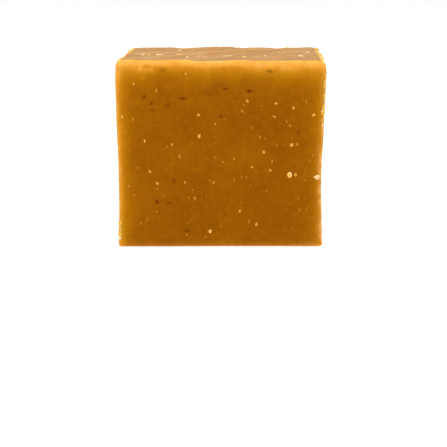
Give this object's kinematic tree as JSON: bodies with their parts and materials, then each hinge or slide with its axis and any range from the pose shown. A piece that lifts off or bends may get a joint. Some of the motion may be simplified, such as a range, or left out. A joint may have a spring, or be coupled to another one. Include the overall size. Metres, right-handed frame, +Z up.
{
  "type": "fudge",
  "caption": "Cube of butter fudge, knife-cut on its sides, with a spread, softly ridged top skin, small pits, sugar grains and crumbly edges.",
  "frame": {"origin": "on the underside, below the middle of the block", "axes": "+Z up, towards the spread top skin; -Y towards the cut side that the picture shows; +X to the right of that side"},
  "size_m": [0.0366, 0.0348, 0.032],
  "materials": {
    "fudge": "satin, faintly grainy"
  },
  "bodies": {
    "root": {"fudge_cube": "fudge"}
  },
  "joints": []
}
